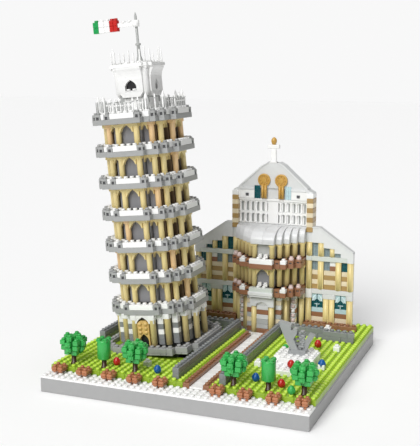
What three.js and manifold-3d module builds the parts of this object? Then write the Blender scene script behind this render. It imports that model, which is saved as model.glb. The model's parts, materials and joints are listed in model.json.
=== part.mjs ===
// A tabletop model of a leaning bell tower, a cathedral front and their gardens, built from miniature
// studded bricks. Millimetres, +Z up. The origin is the centre of the underside of the base slab, the
// front of the model faces -Y.
import * as THREE from "three";
import { mergeVertices } from "three/addons/utils/BufferGeometryUtils.js";
import Module from "manifold-3d";

const wasm = await Module();
wasm.setup();

// ---- driving dimensions -------------------------------------------------------------------------
const STUD = 4; // pitch of the studs
const BRICK = 3.2; // height of one brick course
const GAP = 0.3; // clearance left between neighbouring pieces
const KNIT = 0.4; // overlap of two shapes that belong to one piece
const SLAB_STUDS = 40; // the base slab is this many studs square
const SLAB_THICK = 9.3;

const TOWER_AT = [11, 19]; // tower axis on the slab, in studs from the front left corner
const TOWER_LIFT = 3; // height of the axis foot above the slab
const LEAN = THREE.MathUtils.degToRad(5.5); // towards -X
const STOREYS = 6; // open arcades between the seven gallery rings
const STOREY = 6 * BRICK; // two courses of gallery and four of arcade
const FOOT_BOTTOM = 1.2; // underside of the foot, measured along the leaning axis
const FIRST_RING = 24.8; // underside of the lowest gallery ring
const TOWER_TOP = FIRST_RING + STOREYS * STOREY + 2 * BRICK;
const BELFRY_TOP = 176;
const MAST_AT = [1, 2]; // a little off the tower axis
const MAST_TIP = 206;
const MAST_RADIUS = 0.9;
const FLAG_MID = 199; // height of the middle of the flag along the leaning axis

const CATHEDRAL_AT = [23, 36.5]; // middle of the front wall on the slab, in studs
const WING_END = 14; // half the width of the whole front, in studs
const NAVE_HALF = 7; // half the width of the middle part, in studs

// Half widths of the rows of a stepped circle, from its front row to its middle row, in studs.
const FOOT_ROWS = [5, 7, 7, 8, 8, 8, 8, 8];
const RING_ROWS = [3, 5, 6, 6, 7, 7, 7];
const PARAPET_ROWS = [2, 4, 5, 6, 6, 7, 7];
const ARCADE_ROWS = [2, 4, 5, 5, 6, 6];
const APSE_BAND_ROWS = [2, 4, 5, 6, 6, 6];
const APSE_ROWS = [2, 3, 4, 5, 6];

const COLOUR = {
  white: 0xf1f1ee, lightGrey: 0xb9bbb8, grey: 0x8d8f8c, tan: 0xd9c88f, lime: 0xa9cf3b,
  brown: 0x74482c, copper: 0xb97a55, green: 0x3fae52, trunk: 0x3f2a15, gold: 0xc99a45, red: 0xb5322c,
};

// ---- shapes -------------------------------------------------------------------------------------
const studs = (n) => n * STUD;
const courses = (n) => n * BRICK;

// An outline in x and y given height from bottom to top.
function prism(points, bottom, top) {
  const shape = new THREE.Shape(points.map(([x, y]) => new THREE.Vector2(x, y)));
  const solid = new THREE.ExtrudeGeometry(shape, { depth: top - bottom, bevelEnabled: false });
  return solid.translate(0, 0, bottom);
}

// An outline in x and z given thickness from the front y to the back y.
function panel(points, front, back) {
  return prism(points, -back, -front).rotateX(Math.PI / 2);
}

// An outline in y and z drawn out along x.
function profile(points, left, right) {
  const turn = new THREE.Matrix4().makeBasis(
    new THREE.Vector3(0, 1, 0),
    new THREE.Vector3(0, 0, 1),
    new THREE.Vector3(1, 0, 0),
  );
  return prism(points, left, right).applyMatrix4(turn);
}

function box(x0, x1, y0, y1, z0, z1) {
  return prism([[x0, y0], [x1, y0], [x1, y1], [x0, y1]], z0, z1);
}

// A round post or frustum standing at x, y.
function post(x, y, radiusBottom, radiusTop, bottom, top, sides = 8) {
  const solid = new THREE.CylinderGeometry(radiusTop, radiusBottom, top - bottom, sides);
  return solid.rotateX(Math.PI / 2).translate(x, y, (top + bottom) / 2);
}

// The front right quarter of a stepped circle, from its front row to its middle row. Every side is moved
// in by inset.
function steppedQuarter(rows, inset) {
  const corners = [];
  rows.forEach((row, k) => {
    const previous = k ? rows[k - 1] : 0;
    if (row > previous) {
      const y = -studs(rows.length - k) + inset;
      corners.push([studs(previous) - inset, y], [studs(row) - inset, y]);
    }
  });
  return corners.slice(1);
}

function mirrored(points) {
  return points.map(([x, y]) => [-x, y]).reverse();
}

function steppedCircle(rows, inset = 0) {
  const front = steppedQuarter(rows, inset);
  const right = [...front, ...front.map(([x, y]) => [x, -y]).reverse()];
  return [...right, ...mirrored(right)];
}

// The front half of a stepped circle, closed by a straight back just in front of y = 0.
function steppedHalf(rows) {
  const front = steppedQuarter(rows, 0);
  const right = [...front, [front[front.length - 1][0], -GAP]];
  return [...right, ...mirrored(right)];
}

function pointedArch(middle, half, bottom, spring, tip) {
  return [[middle - half, bottom], [middle + half, bottom], [middle + half, spring],
    [middle + half * 0.6, (spring + tip) / 2 + 0.4], [middle, tip],
    [middle - half * 0.6, (spring + tip) / 2 + 0.4], [middle - half, spring]];
}

// A column of eight-sided slices, each given as height, half width and half width of its flat faces.
function octagonStack(slices) {
  const ring = ([z, r, a]) =>
    [[a, -r], [r, -a], [r, a], [a, r], [-a, r], [-r, a], [-r, -a], [-a, -r]].map(([x, y]) => [x, y, z]);
  const rings = slices.map(ring);
  const corners = rings.flat();
  const faces = [];
  for (let s = 0; s + 1 < rings.length; s += 1) {
    for (let k = 0; k < 8; k += 1) {
      const [a, b] = [s * 8 + k, s * 8 + ((k + 1) % 8)];
      faces.push([a, b, b + 8], [a, b + 8, a + 8]);
    }
  }
  const last = (rings.length - 1) * 8;
  for (let k = 1; k < 7; k += 1) {
    faces.push([0, k + 1, k], [last, last + k, last + k + 1]);
  }
  const geometry = new THREE.BufferGeometry();
  geometry.setAttribute("position", new THREE.Float32BufferAttribute(corners.flat(), 3));
  geometry.setIndex(faces.flat());
  return geometry;
}

// ---- booleans -----------------------------------------------------------------------------------
function toSolid(geometry) {
  const bare = geometry.clone();
  bare.deleteAttribute("normal");
  bare.deleteAttribute("uv");
  const welded = mergeVertices(bare, 1e-4);
  return new wasm.Manifold(new wasm.Mesh({
    numProp: 3,
    vertProperties: new Float32Array(welded.attributes.position.array),
    triVerts: new Uint32Array(welded.index.array),
  }));
}

function toGeometry(solid) {
  const mesh = solid.getMesh();
  const geometry = new THREE.BufferGeometry();
  geometry.setAttribute("position", new THREE.Float32BufferAttribute(mesh.vertProperties, 3));
  geometry.setIndex(Array.from(mesh.triVerts));
  return geometry;
}

function join(...shapes) {
  return toGeometry(shapes.map(toSolid).reduce((whole, next) => whole.add(next)));
}

function cut(shape, ...tools) {
  return toGeometry(tools.map(toSolid).reduce((whole, next) => whole.subtract(next), toSolid(shape)));
}

// Copies of shapes at every quarter turn about the z axis.
function quarterTurns(...shapes) {
  return [0, 1, 2, 3].flatMap((k) => shapes.map((shape) => shape.clone().rotateZ((k * Math.PI) / 2)));
}

// ---- assembly -----------------------------------------------------------------------------------
const model = new THREE.Group();
model.name = "landmark_model";

function group(x, y, z) {
  const child = new THREE.Group();
  child.position.set(x, y, z);
  model.add(child);
  return child;
}

const half = studs(SLAB_STUDS) / 2;
const site = group(-half, -half, SLAB_THICK);
const tower = group(studs(TOWER_AT[0]) - half, studs(TOWER_AT[1]) - half, SLAB_THICK + TOWER_LIFT);
tower.rotation.y = -LEAN;
const cathedral = group(studs(CATHEDRAL_AT[0]) - half, studs(CATHEDRAL_AT[1]) - half, SLAB_THICK);

function place(parent, name, colour, geometry) {
  const flat = geometry.index ? geometry.toNonIndexed() : geometry;
  flat.computeVertexNormals();
  const material = new THREE.MeshStandardMaterial({ color: colour, roughness: 0.35, metalness: 0 });
  const mesh = new THREE.Mesh(flat, material);
  mesh.name = name;
  parent.add(mesh);
}

// An outline given in studs, raised off the slab by the clearance unless bottom says otherwise.
function bed(points, top, bottom = GAP) {
  return prism(points.map(([x, y]) => [studs(x), studs(y)]), bottom, top);
}

// ---- base slab and gardens ----------------------------------------------------------------------
place(site, "base_slab", COLOUR.white, box(0, 2 * half, 0, 2 * half, -SLAB_THICK, 0));

const leftLawn = [[0, 3], [20.95, 3], [20.95, 30], [16.8, 30], [16.8, 35.3], [8.7, 35.3], [8.7, 40], [0, 40]];
const underFoot = [
  box(studs(2.85), studs(9.5), studs(10.85), studs(27.15), -1, courses(2)),
  box(studs(9), studs(17), studs(12.8), studs(25.2), -1, courses(2)),
];
place(site, "lawn_left", COLOUR.lime, cut(bed(leftLawn, courses(1)), ...underFoot));

const rightLawn = [[25.05, 3], [40, 3], [40, 40], [37.3, 40], [37.3, 35.3], [29.2, 35.3], [29.2, 31],
  [25.05, 31]];
place(site, "lawn_right", COLOUR.lime, bed(rightLawn, courses(1)));

const path = [[22.05, 3], [23.95, 3], [23.95, 31.2], [20, 31.2], [20, 30.2], [21, 30.2], [21, 29.2],
  [22.05, 29.2]];
place(site, "path", COLOUR.white, bed(path, courses(0.4)));

// A straight row of bricks between two corners, given in studs.
const row = (x0, x1, y0, y1, top, bottom) => bed([[x0, y0], [x1, y0], [x1, y1], [x0, y1]], top, bottom);
const onLawn = courses(1) + GAP;
place(site, "path_edging_left", COLOUR.brown, row(21.05, 21.95, 3, 29, courses(1)));
place(site, "path_edging_right", COLOUR.brown, row(24.05, 24.95, 3, 31, courses(1)));
place(site, "border_row_left", COLOUR.brown, row(8.8, 17, 35.4, 36.4, courses(2)));
place(site, "border_row_right", COLOUR.brown, row(29.3, 38, 35.4, 36.4, courses(2), onLawn));

const leftWall = [[19, 3.6], [20, 3.6], [20, 29.8], [1, 29.8], [1, 16], [2, 16], [2, 28.8], [19, 28.8]];
place(site, "garden_wall_left", COLOUR.grey, bed(leftWall, courses(3), onLawn));

const rightWall = [[26, 3.6], [27, 3.6], [27, 30], [34, 30], [34, 29], [39, 29], [39, 30], [35, 30], [35, 31],
  [26, 31]];
place(site, "garden_wall_right", COLOUR.grey, bed(rightWall, courses(3), onLawn));

// ---- planters along the front edge --------------------------------------------------------------
const planterColumns = [2, 6, 10, 14, 18, 26.5, 30.5, 34.5, 38.5];
planterColumns.forEach((column, n) => {
  const [x, y] = [studs(column), studs(2.05)];
  const foot = post(x, y, studs(0.62), studs(0.68), GAP, courses(0.6) + KNIT);
  const tub = post(x, y, studs(0.75), studs(0.92), courses(0.6), courses(1.9));
  place(site, `planter_${n + 1}`, COLOUR.copper, join(foot, tub));
});

// ---- trees --------------------------------------------------------------------------------------
// The outer trees of each lawn carry a crown with a cross-shaped plan, the middle one a round pillar.
function crossPlan(x, y, reach, arm) {
  return [[arm, -reach], [arm, -arm], [reach, -arm], [reach, arm], [arm, arm], [arm, reach],
    [-arm, reach], [-arm, arm], [-reach, arm], [-reach, -arm], [-arm, -arm], [-arm, -reach]]
    .map(([a, b]) => [x + studs(a), y + studs(b)]);
}

function tree(name, column, row, pillar) {
  const [x, y] = [studs(column), studs(row)];
  const trunk = post(x, y, studs(0.5), studs(0.5), onLawn, courses(3) + KNIT, 6);
  const crown = pillar
    ? post(x, y, studs(1), studs(1), courses(2.8), courses(6.6), 12)
    : join(prism(crossPlan(x, y, 2, 1), courses(3), courses(5)),
      prism(crossPlan(x, y, 1.5, 0.5), courses(5) - KNIT, courses(6.5)));
  place(site, name, COLOUR.green, join(trunk, crown));
}

[[3, 8, 13], [28, 33, 38]].forEach((columns, side) => {
  columns.forEach((column, n) => {
    tree(`tree_${side ? "right" : "left"}_${n + 1}`, column, 4.5, n === 1);
  });
});

// ---- fountain -----------------------------------------------------------------------------------
// A round pedestal on a terrace that runs out to the front.
const FOUNTAIN_AT = [studs(33.5), studs(16.5)];
const terraceOutline = [[-2, -6], [2, -6], [2, -5], [3, -5], [3, 2], [2, 3], [-2, 3], [-3, 2], [-3, -5],
  [-2, -5]];
const terrace = bed(terraceOutline, courses(2), onLawn);
const pedestal = octagonStack([courses(2) - KNIT, courses(3)].map((z) => [z, studs(3), studs(2)]));
place(site, "fountain_basin", COLOUR.white, join(terrace, pedestal).translate(...FOUNTAIN_AT, 0));

// A vase seen from the front: a short stem, a tall wing on the left and a lower one on the right.
const vase = [[-0.7, 3], [1.4, 3], [1.5, 4], [2.5, 6.7], [1.8, 7], [1, 5.4], [-0.4, 5.8], [0.1, 7.9],
  [-0.8, 8.2], [-2.6, 9], [-1.3, 4.8], [-0.7, 4]];
const vaseOutline = vase.map(([x, z]) => [studs(x), courses(z) + (z === 3 ? GAP : 0)]);
const vaseBody = panel(vaseOutline, -studs(0.8), studs(0.8));
place(site, "fountain_sculpture", COLOUR.lightGrey, vaseBody.translate(...FOUNTAIN_AT, 0));

// ---- tower --------------------------------------------------------------------------------------
// The foot is a shallow stepped dish; the wedge below it reaches down to the level slab.
const slabUnder = (x) => (GAP - TOWER_LIFT - x * Math.sin(LEAN)) / Math.cos(LEAN);
const footPlate = FOOT_BOTTOM + 1.2;
const footTop = footPlate + BRICK;
const footBody = prism(steppedCircle(FOOT_ROWS), FOOT_BOTTOM, footTop);
const footWell = prism(steppedCircle(FOOT_ROWS, STUD), footPlate, footTop + 1);
const wedgeTop = FOOT_BOTTOM + KNIT;
const wedgeOutline = [[-24, slabUnder(-24)], [22, slabUnder(22)], [22, wedgeTop], [-24, wedgeTop]];
place(tower, "tower_foot", COLOUR.lightGrey, join(cut(footBody, footWell), panel(wedgeOutline, -24, 24)));

// Ground floor: pilasters with set-back panels between them and a doorway at the front.
const groundBody = prism(steppedCircle(PARAPET_ROWS), footPlate + GAP, FIRST_RING - GAP);
const recessTop = FIRST_RING - BRICK;
const panelRecess = [[-3, -2], [2, 3]].map(([left, right]) =>
  box(studs(left), studs(right), -studs(6) - 1, -studs(5.5), footTop, recessTop));
const doorRecess = box(-studs(1), studs(1), -studs(7) - 1, -studs(6), footTop, recessTop);
place(tower, "tower_ground_floor", COLOUR.tan, cut(groundBody, doorRecess, ...quarterTurns(...panelRecess)));

const doorHalf = studs(1) - GAP;
const doorBlock = box(-doorHalf, doorHalf, -studs(7) + 0.6, -studs(6) - GAP, footTop + GAP, recessTop - GAP);
const doorwayOutline = pointedArch(0, studs(0.6), footTop - 1, footTop + 5, footTop + 8);
const doorway = panel(doorwayOutline, -studs(8), -studs(6.3));
place(tower, "tower_door", COLOUR.gold, cut(doorBlock, doorway));

for (let n = 0; n <= STOREYS; n += 1) {
  const bottom = FIRST_RING + n * STOREY;
  const cornice = prism(steppedCircle(RING_ROWS), bottom, bottom + BRICK);
  const parapet = prism(steppedCircle(PARAPET_ROWS), bottom + BRICK - KNIT, bottom + 2 * BRICK);
  place(tower, `tower_gallery_${n + 1}`, COLOUR.lightGrey, join(cornice, parapet));
}

// Each arcade has a two-stud pointed arch on every side and a one-stud arch beside each corner.
for (let n = 0; n < STOREYS; n += 1) {
  const bottom = FIRST_RING + 2 * BRICK + n * STOREY + GAP;
  const top = FIRST_RING + (n + 1) * STOREY - GAP;
  const arch = (middle, width, y, depth) => {
    const outline = pointedArch(studs(middle), studs(width), bottom - 1, top - 4, top - 1.6);
    return panel(outline, -studs(y) - 1, -studs(y - depth));
  };
  const openings = [arch(0, 1, 6, 1.4), arch(2.5, 0.5, 5, 1.2), arch(-2.5, 0.5, 5, 1.2)];
  const drum = prism(steppedCircle(ARCADE_ROWS), bottom, top);
  place(tower, `tower_arcade_${n + 1}`, COLOUR.tan, cut(drum, ...quarterTurns(...openings)));
}

// Square pickets and a pair of pointed spires at each corner of the top gallery, standing on a thin rail.
const rail = cut(
  prism(steppedCircle(PARAPET_ROWS, 0.4), TOWER_TOP + GAP, TOWER_TOP + GAP + 0.6),
  prism(steppedCircle(PARAPET_ROWS, STUD - 0.8), TOWER_TOP - 1, TOWER_TOP + 2),
);
// A square bar standing at x studs and y studs in front of the axis.
const bar = ([x, y], radius, bottom, top) =>
  box(studs(x) - radius, studs(x) + radius, -studs(y) - radius, -studs(y) + radius, bottom, top);
const onRail = TOWER_TOP + GAP + 0.2;
const fenceAt = [[0.5, 6.5], [1.5, 6.5], [4.5, 4.5], [6.5, 1.5], [6.5, 0.5]];
const fencePickets = fenceAt.map((at) => bar(at, 0.5, onRail, TOWER_TOP + 7));
const spireAt = [[3.5, 5.4], [5.4, 3.5]];
const spireShoulder = TOWER_TOP + 6;
const spireTip = TOWER_TOP + 11;
const spires = spireAt.flatMap(([x, y]) => [
  post(studs(x), -studs(y), 1.5, 1.5, onRail, spireShoulder + KNIT, 8),
  post(studs(x), -studs(y), 1.5, 0.2, spireShoulder, spireTip, 8),
]);
place(tower, "tower_balustrade", COLOUR.white, join(rail, ...quarterTurns(...fencePickets, ...spires)));

// Belfry: narrow at the bottom, eight-sided, flared at the top under a ring of pickets, with an arch in
// each of its four faces.
const belfrySlices = [[TOWER_TOP + GAP, 2.4, 1.6], [154, 2.4, 1.6], [158.4, 3, 2], [166, 3, 2],
  [172, 3.55, 2.5], [BELFRY_TOP, 3.6, 2.5]];
const belfryBody = octagonStack(belfrySlices.map(([z, r, a]) => [z, studs(r), studs(a)]));
const belfryArch = panel(pointedArch(0, studs(0.95), 159, 161.5, 165.2), -studs(3) - 1, -studs(2.2));
const crownAt = [[2.4, 2.4], [3.2, 1.6], [1.6, 3.2], [3.3, 0.6]];
const crownPickets = crownAt.map((at) => bar(at, 0.4, BELFRY_TOP - 1, BELFRY_TOP + 6));
place(tower, "belfry", COLOUR.white,
  cut(join(belfryBody, ...quarterTurns(...crownPickets)), ...quarterTurns(belfryArch)));

const mastFoot = BELFRY_TOP + GAP;
const mastProfile = [[0, mastFoot], [2, mastFoot], [1.3, mastFoot + 4], [1.1, 186], [1.9, 186.5],
  [1.9, 187.5], [MAST_RADIUS, 188], [MAST_RADIUS, MAST_TIP - 3], [0.5, MAST_TIP - 1], [0, MAST_TIP]];
const mast = new THREE.LatheGeometry(mastProfile.map(([r, z]) => new THREE.Vector2(r, z)), 12);
place(tower, "mast", COLOUR.lightGrey, mast.rotateX(Math.PI / 2).translate(...MAST_AT, 0));

// The flag turns about the mast on a closed clip; its cloth is one flat block on a bar.
const clip = cut(
  post(0, 0, 2.2, 2.2, FLAG_MID - 2, FLAG_MID + 2, 12),
  post(0, 0, MAST_RADIUS + GAP, MAST_RADIUS + GAP, FLAG_MID - 3, FLAG_MID + 3, 12),
);
const flagBar = box(-studs(3.1), -1.9, -1, 1, FLAG_MID - 1.4, FLAG_MID + 1.4);
const flagCloth = box(-studs(7.2), -studs(3), -1.9, 1.9, FLAG_MID - 3.8, FLAG_MID + 3.8);
place(tower, "flag", COLOUR.red, join(clip, flagBar, flagCloth).translate(...MAST_AT, 0));

// ---- cathedral ----------------------------------------------------------------------------------
// x runs from the middle of the front, y = 0 is the face of the wings and the apse stands in front.
const EAVE = courses(17);
const RIDGE = courses(22);

function wing(side) {
  const mirror = (points) => points.map(([x, z]) => [side * studs(x), z]);
  const near = NAVE_HALF + GAP / STUD;
  const wall = [[near, GAP], [WING_END, GAP], [WING_END, EAVE], [8.3, RIDGE], [near, RIDGE]];
  const windows = [[8, 1, 13, 15], [8, 1, 15.6, 18.6], [10, 1, 13, 15], [10, 1, 15.6, 17.6], [13, 1, 13, 15],
    [7.9, 2, 4.8, 7.4], [11.9, 2, 4.8, 7.4]];
  const recesses = windows.map(([x, width, bottom, top]) => {
    const [low, high] = [courses(bottom), courses(top)];
    return panel(mirror([[x, low], [x + width, low], [x + width, high], [x, high]]), -1, 1.2);
  });
  return cut(panel(mirror(wall), 0, STUD), ...recesses);
}

place(cathedral, "cathedral_wing_left", COLOUR.tan, wing(-1));
place(cathedral, "cathedral_wing_right", COLOUR.tan, wing(1));

// Nave: a tall wall with quoins at both sides, a shallow niche for the colonnade and a gable.
const naveOutline = [[7, 29], [5.6, 30], [1.7, 34.3], [0.9, 35]];
const naveRight = naveOutline.map(([x, z]) => [studs(x), courses(z)]);
const naveLeft = naveRight.map(([x, z]) => [-x, z]).reverse();
const naveWall = panel([[-studs(7), GAP], [studs(7), GAP], ...naveRight, ...naveLeft], 0, studs(2));
const niche = box(-studs(6), studs(6), -1, studs(0.9), courses(22), courses(27));
place(cathedral, "nave_wall", COLOUR.lightGrey, cut(naveWall, niche));

const nicheHalf = studs(6) - GAP;
const colonnadeBase = box(-nicheHalf, nicheHalf, 0.8, studs(0.9) - GAP, courses(22) + GAP, courses(27) - GAP);
const slots = [22.4, 24.9].flatMap((row) => Array.from({ length: 12 }, (_, n) =>
  box(studs(n - 5.7), studs(n - 5.3), 0, 2, courses(row), courses(row + 1.7))));
place(cathedral, "nave_colonnade", COLOUR.white, cut(colonnadeBase, ...slots));

for (const [name, middle] of [["left", -1.5], ["right", 1.5]]) {
  const rose = new THREE.CylinderGeometry(studs(1.05), studs(1.05), 2, 16);
  rose.translate(studs(middle), -1 - GAP, courses(31.4));
  const stem = box(studs(middle - 0.45), studs(middle + 0.45), -2 - GAP, -GAP, courses(27.8), courses(31));
  place(cathedral, `rose_window_${name}`, COLOUR.gold, join(rose, stem));
}

const crossOutline = [[-0.4, 35], [0.4, 35], [0.4, 38], [1.05, 38], [1.05, 38.8], [-1.05, 38.8],
  [-1.05, 38], [-0.4, 38]];
const crossPoints = crossOutline.map(([x, z]) => [studs(x), courses(z) + (z === 35 ? GAP : 0)]);
const finial = post(0, studs(0.65), studs(0.34), studs(0.12), courses(38.8) - KNIT, courses(40.4));
place(cathedral, "gable_cross", COLOUR.white, join(panel(crossPoints, studs(0.3), studs(1)), finial));

// ---- apse ---------------------------------------------------------------------------------------
function apseStage(name, colour, rows, bottom, top, ...tools) {
  const stage = prism(steppedHalf(rows), courses(bottom) + GAP, courses(top));
  place(cathedral, name, colour, tools.length ? cut(stage, ...tools) : stage);
}

// The arch in the middle of one apse stage.
function apseArch(bottom, top) {
  const outline = pointedArch(0, studs(1), courses(bottom) - 1, courses(top - 1.2), courses(top - 0.3));
  return panel(outline, -studs(5) - 1, -studs(3.8));
}

apseStage("apse_ground_floor", COLOUR.tan, APSE_ROWS, 0, 8,
  box(-studs(1), studs(1), -studs(5) - 1, -studs(4.8), courses(1), courses(7)));
apseStage("apse_band_lower", COLOUR.brown, APSE_BAND_ROWS, 8, 10);
apseStage("apse_gallery_lower", COLOUR.tan, APSE_ROWS, 10, 14, apseArch(10, 14));
apseStage("apse_band_upper", COLOUR.brown, APSE_BAND_ROWS, 14, 16);
apseStage("apse_gallery_upper", COLOUR.tan, APSE_ROWS, 16, 19, apseArch(16, 19));

// The half dome is a row of curved bays; every bay starts where its row of the plan starts.
const domeFoot = courses(19) + GAP;
const bays = APSE_ROWS.flatMap((to, row) => {
  const from = row ? APSE_ROWS[row - 1] : 0;
  const reach = studs(APSE_ROWS.length - row + 0.25);
  const top = courses(22) - 0.2 * row;
  const springing = domeFoot + 1.6;
  const curve = Array.from({ length: 5 }, (_, n) => {
    const turn = (n / 4) * (Math.PI / 2);
    return [-reach + 0.72 * reach * (1 - Math.cos(turn)), springing + (top - springing) * Math.sin(turn)];
  });
  const outline = [[-GAP, domeFoot], [-GAP, top], ...curve.reverse(), [-reach, domeFoot]];
  return row === 0
    ? [profile(outline, -studs(to), studs(to))]
    : [profile(outline, studs(from) - KNIT, studs(to)), profile(outline, -studs(to), -studs(from) + KNIT)];
});
place(cathedral, "apse_half_dome", COLOUR.white, join(...bays));

export default model;
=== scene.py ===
"""A micro-brick model of a leaning bell tower, a cathedral front and their gardens.

Every piece is built from small studded bricks. Places and sizes inside the model are in studs (one stud
is 4 mm and a brick course is 0.8 stud high), counted from the slab's front left corner or, for the tower
and the cathedral, from their own axes.
"""

import json
import math
import random

import bpy
from mathutils import Matrix, Vector


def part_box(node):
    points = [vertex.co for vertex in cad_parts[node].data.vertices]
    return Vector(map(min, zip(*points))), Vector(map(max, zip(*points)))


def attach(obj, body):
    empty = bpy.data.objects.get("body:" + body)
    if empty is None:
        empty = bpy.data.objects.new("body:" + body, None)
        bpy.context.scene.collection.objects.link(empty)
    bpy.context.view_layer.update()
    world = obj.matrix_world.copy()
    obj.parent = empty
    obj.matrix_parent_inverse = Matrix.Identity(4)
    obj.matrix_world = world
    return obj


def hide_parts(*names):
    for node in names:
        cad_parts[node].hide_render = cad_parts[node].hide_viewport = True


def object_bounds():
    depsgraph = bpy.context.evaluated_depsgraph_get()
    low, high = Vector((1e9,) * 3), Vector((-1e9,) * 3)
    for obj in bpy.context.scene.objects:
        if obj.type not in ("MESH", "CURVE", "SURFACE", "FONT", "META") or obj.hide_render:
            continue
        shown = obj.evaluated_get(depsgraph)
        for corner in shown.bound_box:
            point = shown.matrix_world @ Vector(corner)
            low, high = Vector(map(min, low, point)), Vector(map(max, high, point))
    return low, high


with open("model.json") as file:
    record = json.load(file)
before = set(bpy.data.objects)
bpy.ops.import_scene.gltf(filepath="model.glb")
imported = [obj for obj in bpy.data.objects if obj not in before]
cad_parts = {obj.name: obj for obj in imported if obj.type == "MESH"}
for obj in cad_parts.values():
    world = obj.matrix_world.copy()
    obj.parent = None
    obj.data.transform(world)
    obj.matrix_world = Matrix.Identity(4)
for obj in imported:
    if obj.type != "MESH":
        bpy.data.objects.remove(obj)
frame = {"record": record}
CAD_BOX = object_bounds()

# ---- driving dimensions ----
STUD = 0.004  # metres between two studs
COURSE = 0.8  # height of a brick, in studs, like every size below
SEAM = 0.012  # half of the joint between two bricks
CHAMFER = 0.045
STUD_RADIUS = 0.31
STUD_HEIGHT = 0.3
ROUND = 12  # sides of a stud

TOWER_AT = (11, 19, 0.75)
FOOT_TOP = 1.4  # heights inside the tower are measured along its leaning axis
FIRST_RING = 6.2
STOREY = 6 * COURSE
STOREYS = 6
RING_TOP = FIRST_RING + STOREYS * STOREY + 2 * COURSE
MAST_AT = (0.25, 0.5)
CATHEDRAL_AT = (23, 36.5, 0)

# Half widths of the rows of a stepped circle, from its front row to its middle row.
FOOT_ROWS = (5, 7, 7, 8, 8, 8, 8, 8)
RING_ROWS = (3, 5, 6, 6, 7, 7, 7)
PARAPET_ROWS = (2, 4, 5, 6, 6, 7, 7)
CORE_ROWS = (2, 4, 4, 5, 5)

random.seed(11)

slab_low, slab_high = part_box("base_slab")
SLAB_STUDS = round((slab_high[0] - slab_low[0]) / STUD)
flag_axis = frame["record"]["behaviour"]["joints"][0]["axis"]
LEAN = math.atan2(-flag_axis[0], flag_axis[2])

SITE = Matrix.Translation((slab_low[0], slab_low[1], slab_high[2])) @ Matrix.Scale(STUD, 4)
TOWER = SITE @ Matrix.Translation(TOWER_AT) @ Matrix.Rotation(-LEAN, 4, "Y")
CATHEDRAL = SITE @ Matrix.Translation(CATHEDRAL_AT)

# ---- materials ----
# name: colour (linear), roughness
PLASTICS = {
    "white": ((0.86, 0.86, 0.85), 0.3),
    "slab_grey": ((0.34, 0.34, 0.34), 0.42),
    "light_grey": ((0.42, 0.43, 0.42), 0.34),
    "grey": ((0.22, 0.23, 0.235), 0.36),
    "dark_grey": ((0.075, 0.075, 0.08), 0.4),
    "black": ((0.008, 0.008, 0.009), 0.35),
    "tan": ((0.78, 0.64, 0.30), 0.36),
    "peach": ((0.84, 0.58, 0.30), 0.36),
    "cream": ((0.76, 0.66, 0.48), 0.33),
    "brown": ((0.29, 0.135, 0.07), 0.34),
    "copper": ((0.42, 0.17, 0.08), 0.32),
    "pink": ((0.66, 0.52, 0.49), 0.34),
    "trunk": ((0.055, 0.022, 0.008), 0.4),
    "lime": ((0.56, 0.78, 0.09), 0.3),
    # A darker copy of lime: painted shade between the lawn studs.
    "turf": ((0.28, 0.43, 0.03), 0.36),
    "sculpture": ((0.33, 0.34, 0.345), 0.34),
    "cornice": ((0.34, 0.345, 0.34), 0.34),
    "core": ((0.24, 0.24, 0.255), 0.4),
    # A deeply shaded copy of tan: painted shade in the tower's side arch openings.
    "core_brown": ((0.13, 0.085, 0.045), 0.4),
    # A shaded copy of tan: painted shade in the gaps between the apse's columns.
    "core_tan": ((0.33, 0.26, 0.12), 0.4),
    "dome": ((0.60, 0.605, 0.61), 0.3),
    "door_gold": ((0.66, 0.45, 0.16), 0.32),
    "clay": ((0.40, 0.26, 0.10), 0.34),
    "gable": ((0.68, 0.69, 0.69), 0.32),
    "band": ((0.62, 0.66, 0.62), 0.32),
    "ice": ((0.72, 0.84, 0.86), 0.24),
    "pane_grey": ((0.24, 0.31, 0.33), 0.24),
    "green": ((0.04, 0.38, 0.08), 0.28),
    "red": ((0.50, 0.022, 0.018), 0.28),
    "blue": ((0.005, 0.09, 0.32), 0.28),
    "gold": ((0.53, 0.31, 0.07), 0.3),
    "teal": ((0.004, 0.095, 0.11), 0.22),
    "pale_blue": ((0.50, 0.66, 0.70), 0.26),
    "flag_green": ((0.012, 0.30, 0.075), 0.3),
}


def link(tree, source, socket, target, name):
    tree.links.new(source.outputs[socket], target.inputs[name])


def set_inputs(node, values):
    for name, value in values.items():
        node.inputs[name].default_value = value


def new_node(tree, kind, values):
    node = tree.nodes.new(kind)
    set_inputs(node, values)
    return node


def noise(tree, place, scale, detail):
    """A noise texture fixed to the object."""
    texture = new_node(tree, "ShaderNodeTexNoise", {"Scale": scale, "Detail": detail})
    link(tree, place, "Object", texture, "Vector")
    return texture


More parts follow.
